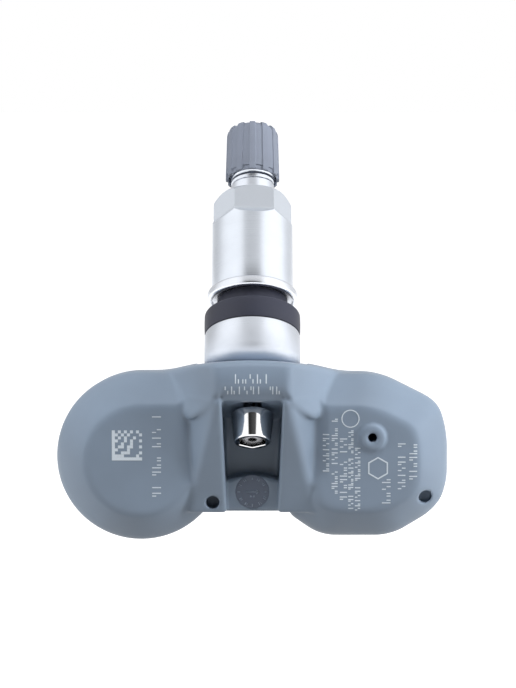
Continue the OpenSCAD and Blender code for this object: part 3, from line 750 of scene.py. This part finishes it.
def cavity(u, v, w):
    """Room for the lid, the board and the cell, in steps."""
    right = np.maximum(right_plan(u, v), CHANNEL[1] - CHANNEL_LAP - u)
    rooms = np.minimum(left_round(u, v), right)
    lid = np.minimum(rooms, np.maximum(right, LID_LEFT - LID_INSET - u))
    out = np.maximum(np.minimum(lid + LID_INSET, channel(u, v, LID_INSET)), w - LID_T)
    for inset, height in CAVITY_STEPS:
        out = np.minimum(out, np.maximum(rooms + inset, w - height))
    return np.minimum(out, np.maximum(channel(u, v, 0.0), w - CHANNEL_T))


def housing_distance(p):
    """Signed distance to the housing's surface at points of its own frame."""
    u, v, w = p[..., 0], p[..., 1], p[..., 2]
    a = np.abs(u)
    bottom = np.maximum(MID_LOW - MID_ARCH * u * u, FOOT_LOW) - v
    middle = np.maximum(bevelled(smooth_max(v - HOUSING_TOP, bottom, 1.0), w), a - MID_HALF)
    body = smooth_min(bevelled(left_plan(u, v), w), bevelled(right_plan(u, v), w), 0.8)
    body = smooth_min(body, middle, 0.8)
    start, span = VALLEY_FADE
    valley = VALLEY_LEAN * np.clip(VALLEY_HALF - a, 0.0, VALLEY_WIDTH) * np.clip((v - start) / span, 0.0, 1.0)
    body = smooth_max(body, w - LOBE_T + valley, 0.4)
    body = smooth_min(body, bridge(u, v, w), 0.5)
    body = smooth_min(body, rail(u, v, w), 0.5)
    port_r = np.hypot(u - PORT_AT[0], v - PORT_AT[1])
    boss = smooth_max(port_r - PORT_BOSS_R, w - LOBE_T - PORT_BOSS_H, 0.7)
    body = smooth_min(body, boss, 0.35)
    body = smooth_max(body, -w, 0.3)
    body = smooth_max(body, -window(u, v, w), 0.7)
    reach = np.sqrt(u * u + v * v + (BACK_Y - w) ** 2)
    body = smooth_max(body, BALL_R + BALL_GAP - reach, 0.3)
    body = smooth_max(body, -head_room(u, v, w), 0.1)
    body = np.maximum(body, -swing_slot(u, v, w))
    dial = np.maximum(np.hypot(u - DIAL_AT[0], v - DIAL_AT[1]) - DIAL_R, LEDGE_T - DIAL_H - w)
    body = np.maximum(body, -dial)
    for hole_u, hole_v, floor in LOCATE_HOLES:
        hole = np.maximum(np.hypot(u - hole_u, v - hole_v) - LOCATE_R, floor - w)
        body = smooth_max(body, -hole, 0.35)
    body = smooth_max(body, -np.maximum(port_r - PORT_R, PORT_FLOOR - w), 0.3)
    room = np.maximum(cavity(u, v, w), -np.maximum(port_r - TUBE_R, TUBE_FLOOR - w))
    return np.maximum(body, -room)


def gradient(points, distance, step=0.02):
    """Slope of a distance at points, from central differences."""
    out = np.empty_like(points)
    for axis in range(3):
        shift = np.zeros(3)
        shift[axis] = step
        out[:, axis] = (distance(points + shift) - distance(points - shift)) / (2 * step)
    return out


def surface_net(distance, low, high, step):
    """A quad mesh of the zero surface: one vertex in each cell that it crosses."""
    counts = np.ceil((np.array(high) - np.array(low)) / step).astype(int) + 1
    axes = [low[i] + step * np.arange(counts[i]) for i in range(3)]
    grid = np.stack(np.meshgrid(*axes, indexing="ij"), axis=-1)
    field = distance(grid)
    inside = field < 0
    cells = tuple(counts - 1)
    total = np.zeros(cells + (3,))
    hits = np.zeros(cells)
    for axis in range(3):
        others = [i for i in range(3) if i != axis]
        for da in (0, 1):
            for db in (0, 1):
                start = [slice(0, c) for c in cells]
                start[others[0]] = slice(da, cells[others[0]] + da)
                start[others[1]] = slice(db, cells[others[1]] + db)
                end = list(start)
                end[axis] = slice(1, cells[axis] + 1)
                f0, f1 = field[tuple(start)], field[tuple(end)]
                crossed = (f0 < 0) != (f1 < 0)
                share = np.where(crossed, f0 / np.where(crossed, f0 - f1, 1.0), 0.0)
                spot = np.zeros(cells + (3,))
                spot[..., axis] = share
                spot[..., others[0]] = da
                spot[..., others[1]] = db
                total += spot * crossed[..., None]
                hits += crossed
    used = hits > 0
    number = -np.ones(cells, dtype=int)
    number[used] = np.arange(used.sum())
    base = np.stack(np.meshgrid(*[axes[i][:-1] for i in range(3)], indexing="ij"), axis=-1)
    points = base[used] + step * total[used] / hits[used][:, None]
    faces = []
    for axis in range(3):
        others = [(axis + 1) % 3, (axis + 2) % 3]
        start = [slice(1, c) for c in cells]
        start[axis] = slice(0, cells[axis])
        end = list(start)
        end[axis] = slice(1, cells[axis] + 1)
        f0, f1 = inside[tuple(start)], inside[tuple(end)]
        crossed = np.argwhere(f0 != f1)
        flips = f1[f0 != f1]
        spot = crossed.copy()
        for i in others:
            spot[:, i] += 1
        corners = []
        for da, db in ((0, 0), (1, 0), (1, 1), (0, 1)):
            cell = spot.copy()
            cell[:, others[0]] -= da
            cell[:, others[1]] -= db
            corners.append(number[cell[:, 0], cell[:, 1], cell[:, 2]])
        quads = np.stack(corners, axis=1)
        quads[flips] = quads[flips][:, ::-1]
        faces.append(quads)
    return points, np.concatenate(faces)


def make_housing():
    """The housing as one moulding, with every edge rounded as it comes from its tool."""
    low = (LEFT_U - LEFT_R - 1, HOUSING_TOP - LOBE_H - 2, -1)
    high = (RIGHT_REACH + 1, PANEL_TOP + 1.5, PANEL_T + 1)
    points, faces = surface_net(housing_distance, low, high, VOXEL)
    for _ in range(3):
        slope = gradient(points, housing_distance)
        size = np.maximum(np.sum(slope * slope, axis=1), 0.2)
        move = housing_distance(points)[:, None] * slope / size[:, None]
        points -= np.clip(move, -VOXEL / 3, VOXEL / 3)
    placed = np.stack([points[:, 0] * MM, (BACK_Y - points[:, 2]) * MM, points[:, 1] * MM], axis=1)
    return add_mesh("housing_moulding", placed, faces[:, ::-1], MATERIALS["housing"], 50.0)


def surface_height(u, v):
    """Depth of the housing's front surface over points of its plan."""
    halvings, start = 30, 12.3
    low = np.full_like(u, start)
    high = np.full_like(u, PANEL_T + 1.0)
    for _ in range(halvings):
        middle = (low + high) / 2
        inside = housing_distance(np.stack([u, v, middle], axis=-1)) < 0
        low = np.where(inside, middle, low)
        high = np.where(inside, high, middle)
    return (low + high) / 2


# Print: plain bars, ticks and outlines in place of the lettering


def bar(u, v, width, height, turn=0.0):
    """Corners of a bar centred at u, v."""
    c, s = math.cos(turn), math.sin(turn)
    half = ((-width, -height), (width, -height), (width, height), (-width, height))
    return [(u + (a * c - b * s) / 2, v + (a * s + b * c) / 2) for a, b in half]


def mark(length, height, kind):
    """One or two upright ticks of a plain mark about its own centre."""
    a, short = length * 0.27, height * 0.46
    shift = (height - short) / 2
    tall = (0, TICK_W, height)
    low, high = (-shift, TICK_W, short), (shift, TICK_W, short)
    ticks = (((-a, tall), (a, low)), ((-a, high), (a, tall)), ((-a, high), (a, low)),
             ((-a, low), (a, low)), ((0, tall),))
    return [(along, *tick) for along, tick in ticks[kind]]


def mark_row(u, v, length, height, first, upright, gap_every):
    """A row of plain marks in the place of a line of print."""
    bars = []
    wide, pitch = 0.58 * height, 0.80 * height
    count = max(1, int(round((length + pitch - wide) / pitch)))
    for i in range(count):
        if (i + first) % gap_every == gap_every - 1:
            continue
        centre = (i - (count - 1) / 2) * pitch
        for a, b, along, across in mark(wide, height, (i * 3 + i // 2 + first) % 5):
            if upright:
                bars.append(bar(u - b, v + centre + a, across, along))
            else:
                bars.append(bar(u + centre + a, v + b, along, across))
    return bars


def outline(u, v, radius, sides, width):
    """Mitred bars along the sides of a regular polygon."""
    half = math.pi / sides
    inner, outer = radius - width / (2 * math.cos(half)), radius + width / (2 * math.cos(half))
    bars = []
    for i in range(sides):
        corners = []
        for r, turn in ((inner, -half), (outer, -half), (outer, half), (inner, half)):
            angle = 2 * half * i + turn
            corners.append((u + r * math.cos(angle), v + r * math.sin(angle)))
        bars.append(corners)
    return bars


def code_block(u, v, size, cells=10):
    """A square block: an L-shaped edge and a plain scatter of small squares."""
    cell = size / cells
    bars = [bar(u - size / 2 + cell / 2, v, cell, size)]
    bars.append(bar(u + cell / 2, v - size / 2 + cell / 2, size - cell, cell))
    last = cells - 1
    for i in range(1, cells):
        for j in range(1, cells):
            edge = (i == last and j % 2 == 0) or (j == last and i % 2 == 0)
            scatter = (i * 7 + j * 13 + i * j * 5 + (i ^ j) * 3) % 11 < 5
            if edge or (i < last and j < last and scatter):
                place = (u + (i + 0.5 - cells / 2) * cell, v + (j + 0.5 - cells / 2) * cell)
                bars.append(bar(*place, cell * 0.96, cell * 0.96))
    return bars


def print_mesh(name, bars, material, lift=0.035, longest=0.5):
    """Thin raised marks that follow the housing's surface in short steps."""
    flat, strips = [], []
    for corners in bars:
        c = np.array(corners)
        if np.linalg.norm(c[1] - c[0]) < np.linalg.norm(c[2] - c[1]):
            c = np.roll(c, -1, axis=0)
        steps = max(1, int(math.ceil(np.linalg.norm(c[1] - c[0]) / longest)))
        strips.append((len(flat), steps))
        for share in np.arange(steps + 1) / steps:
            flat += [c[0] + share * (c[1] - c[0]), c[3] + share * (c[2] - c[3])]
    flat = np.array(flat)
    heights = surface_height(flat[:, 0], flat[:, 1])
    points = [housing_point(u, v, w + rise) for rise in (-lift, lift) for (u, v), w in zip(flat, heights)]
    up = len(flat)
    faces = []
    for start, steps in strips:
        last = start + 2 * steps
        faces += [(start + up, start + 1 + up, start + 1, start), (last + 1 + up, last + up, last, last + 1)]
        for k in range(start, last, 2):
            faces += [(k, k + 1, k + 3, k + 2), (k + up, k + 2 + up, k + 3 + up, k + 1 + up)]
            faces += [(k, k + 2, k + 2 + up, k + up), (k + 3, k + 1, k + 1 + up, k + 3 + up)]
    obj = add_mesh(name, points, faces, material)
    obj.data.polygons.foreach_set("use_smooth", [False] * len(obj.data.polygons))
    return obj


def make_print():
    """Marks in the places where the housing is printed."""
    bars = code_block(*BLOCK_AT, BLOCK_SIZE)
    for row in PRINT_ROWS:
        bars += mark_row(*row)
    for shape in PRINT_OUTLINES:
        bars += outline(*shape)
    return print_mesh("housing_print", bars, MATERIALS["print"])


def on_dial(radius, angle):
    """A place on the dial."""
    return DIAL_AT[0] + radius * math.cos(angle), DIAL_AT[1] + radius * math.sin(angle)


def make_dial_disc(face):
    """Disc of the date dial, with a soft edge."""
    segments = 96
    profile = [(LEDGE_T - DIAL_H, DIAL_R - 0.02), (face - 0.05, DIAL_R - 0.02), (face, DIAL_R - 0.07)]
    points, faces = [], []
    for w, r in profile:
        points += [housing_point(*on_dial(r, 2 * math.pi * j / segments), w) for j in range(segments)]
    for i in range(len(profile) - 1):
        low, high = i * segments, (i + 1) * segments
        for j in range(segments):
            k = (j + 1) % segments
            faces.append((low + j, low + k, high + k, high + j))
    faces.append(tuple((len(profile) - 1) * segments + j for j in range(segments)))
    faces.append(tuple(range(segments - 1, -1, -1)))
    return add_mesh("date_dial", points, faces, MATERIALS["dial"], 30.0)


def make_dial_marks(face):
    """A ring of plain ticks, an arrow and two dots, raised on the dial."""
    ring, tick = DIAL_R * 0.8, DIAL_R * 0.17
    bars = []
    for i in range(12):
        angle = 2 * math.pi * i / 12
        bars.append(bar(*on_dial(ring, angle), tick, 0.17, angle))
        if i % 3:
            angle += 0.13
            bars.append(bar(*on_dial(ring, angle), tick, 0.1, angle))
    bars.append(bar(*DIAL_AT, DIAL_R * 0.78, 0.15))
    for side in (-1, 1):
        barb = (DIAL_AT[0] + DIAL_R * 0.3, DIAL_AT[1] + side * 0.17)
        bars.append(bar(*barb, 0.55, 0.13, -side * math.radians(35.0)))
        bars.append(bar(DIAL_AT[0] + side * 0.25, DIAL_AT[1] - 0.72, 0.3, 0.3))
    points, faces = [], []
    for corners in bars:
        start = len(points)
        points += [housing_point(u, v, face + rise) for rise in (-0.02, 0.06) for u, v in corners]
        faces.append(tuple(start + k for k in (4, 5, 6, 7)))
        for k in range(4):
            n = (k + 1) % 4
            faces.append((start + k, start + n, start + 4 + n, start + 4 + k))
    return add_mesh("date_dial_marks", points, faces, MATERIALS["relief"])


# Stage, light and camera


def make_floor():
    """A plain floor that shows white with the part's soft shadow."""
    bpy.ops.mesh.primitive_plane_add(size=30.0, location=(0, 0, cad_box[0][2] - FLOOR_GAP * MM))
    floor = bpy.context.object
    floor.name = "floor"
    material = bpy.data.materials.new("floor_white")
    material.use_nodes = True
    nodes, links = material.node_tree.nodes, material.node_tree.links
    shader = nodes["Principled BSDF"]
    shader.inputs["Base Color"].default_value = (FLOOR_COLOR, FLOOR_COLOR, FLOOR_COLOR, 1.0)
    shader.inputs["Roughness"].default_value = 0.9
    shader.inputs["Emission Color"].default_value = (1.0, 1.0, 1.0, 1.0)
    path = nodes.new("ShaderNodeLightPath")
    seen = path.outputs["Is Camera Ray"]
    for ray in ("Is Glossy Ray", "Is Transmission Ray"):
        either = nodes.new("ShaderNodeMath")
        either.operation = "MAXIMUM"
        links.new(seen, either.inputs[0])
        links.new(path.outputs[ray], either.inputs[1])
        seen = either.outputs["Value"]
    level = nodes.new("ShaderNodeMath")
    level.operation = "MULTIPLY"
    level.inputs[1].default_value = FLOOR_LIFT
    links.new(seen, level.inputs[0])
    links.new(level.outputs["Value"], shader.inputs["Emission Strength"])
    floor.data.materials.append(material)


def make_world():
    """White to the camera, an even room as light, and a room with bright and dark sides in reflections."""
    world = bpy.data.worlds.new("studio")
    bpy.context.scene.world = world
    world.use_nodes = True
    nodes, links = world.node_tree.nodes, world.node_tree.links
    background = nodes["Background"]
    background.inputs["Color"].default_value = (1.0, 1.0, 1.0, 1.0)
    coords = nodes.new("ShaderNodeTexCoord").outputs["Generated"]

    def calc(operation, a, b):
        node = nodes.new("ShaderNodeMath")
        node.operation = operation
        for socket, value in zip(node.inputs, (a, b)):
            if isinstance(value, float):
                socket.default_value = value
            else:
                links.new(value, socket)
        return node.outputs["Value"]

    def along(direction):
        node = nodes.new("ShaderNodeVectorMath")
        node.operation = "DOT_PRODUCT"
        node.inputs[1].default_value = Vector(direction)
        links.new(coords, node.inputs[0])
        return node.outputs["Value"]

    def faded(value, span, start, end):
        node = nodes.new("ShaderNodeMapRange")
        node.interpolation_type = "SMOOTHSTEP"
        for name, number in zip(("From Min", "From Max", "To Min", "To Max"), (*span, start, end)):
            node.inputs[name].default_value = number
        links.new(value, node.inputs["Value"])
        return node.outputs["Result"]

    def mixed(share, a, b):
        return calc("ADD", calc("MULTIPLY", b, share), calc("MULTIPLY", a, calc("SUBTRACT", 1.0, share)))

    aside = calc("ABSOLUTE", along((1.0, 0.0, 0.0)), 0.0)
    gap = faded(along((0.0, 0.0, 1.0)), GAP_FADE, *SEEN_GAP)
    front = mixed(faded(aside, SIDE_FADE, 0.0, 1.0), gap, SEEN_SIDE)
    seen = mixed(faded(along((0.0, 1.0, 0.0)), BACK_FADE, 0.0, 1.0), front, SEEN_BACK)
    seen = calc("ADD", seen, along((SEEN_TILT, 0.0, 0.0)))
    path = nodes.new("ShaderNodeLightPath")
    level = mixed(path.outputs["Is Glossy Ray"], ROOM_LEVEL, seen)
    straight = calc("MAXIMUM", path.outputs["Is Camera Ray"], path.outputs["Is Transmission Ray"])
    level = mixed(straight, level, 1.0)
    links.new(level, background.inputs["Strength"])


def make_lights():
    """Soft square lamps that light the part and stay out of its reflections."""
    for name, place, side, power in LAMPS:
        data = bpy.data.lights.new(name, "AREA")
        data.shape = "RECTANGLE"
        data.size = side * MM
        data.size_y = side * MM
        data.energy = power
        lamp = bpy.data.objects.new(name, data)
        bpy.context.scene.collection.objects.link(lamp)
        lamp.location = [c * MM for c in place]
        aim = Vector([(t - c) * MM for t, c in zip(LAMP_AIM, place)])
        lamp.rotation_euler = aim.to_track_quat("-Z", "Y").to_euler()
        lamp.visible_glossy = False


def make_camera():
    """The photograph's view, from a little above."""
    data = bpy.data.cameras.new("camera")
    data.lens = CAMERA_LENS
    data.sensor_width = 36.0
    camera = bpy.data.objects.new("camera", data)
    bpy.context.scene.collection.objects.link(camera)
    away = (0.0, -math.cos(CAMERA_EL), math.sin(CAMERA_EL))
    camera.location = [(t + CAMERA_DISTANCE * a) * MM for t, a in zip(CAMERA_TARGET, away)]
    aim = Vector([-a for a in away])
    camera.rotation_euler = aim.to_track_quat("-Z", "Y").to_euler()
    bpy.context.scene.camera = camera


# Build

make_camera()
make_world()
make_lights()
make_floor()
dress_nodes()

PIECES = (
    (make_housing(), "sensor", "housing", "housing_plastic"),
    (make_cap(), "cap", "valve_cap", "cap_plastic"),
    (make_nut(), "nut", "union_nut", "nut_alloy"),
    (make_washer(), "washer", "clamp_washer", "washer_alloy"),
    (make_grommet(), "valve", "rim_grommet", "grommet_rubber"),
    (make_valve_body(), "valve", "valve_body", "valve_alloy"),
    (make_screw(), "valve", "hollow_screw", "screw_chrome"),
)
for piece, body, node, finish in PIECES:
    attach(piece, body)
    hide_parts(node)

for piece in (make_print(), make_dial_disc(DIAL_FACE), make_dial_marks(DIAL_FACE)):
    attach(piece, "sensor")

bpy.context.scene.view_settings.view_transform = "Standard"
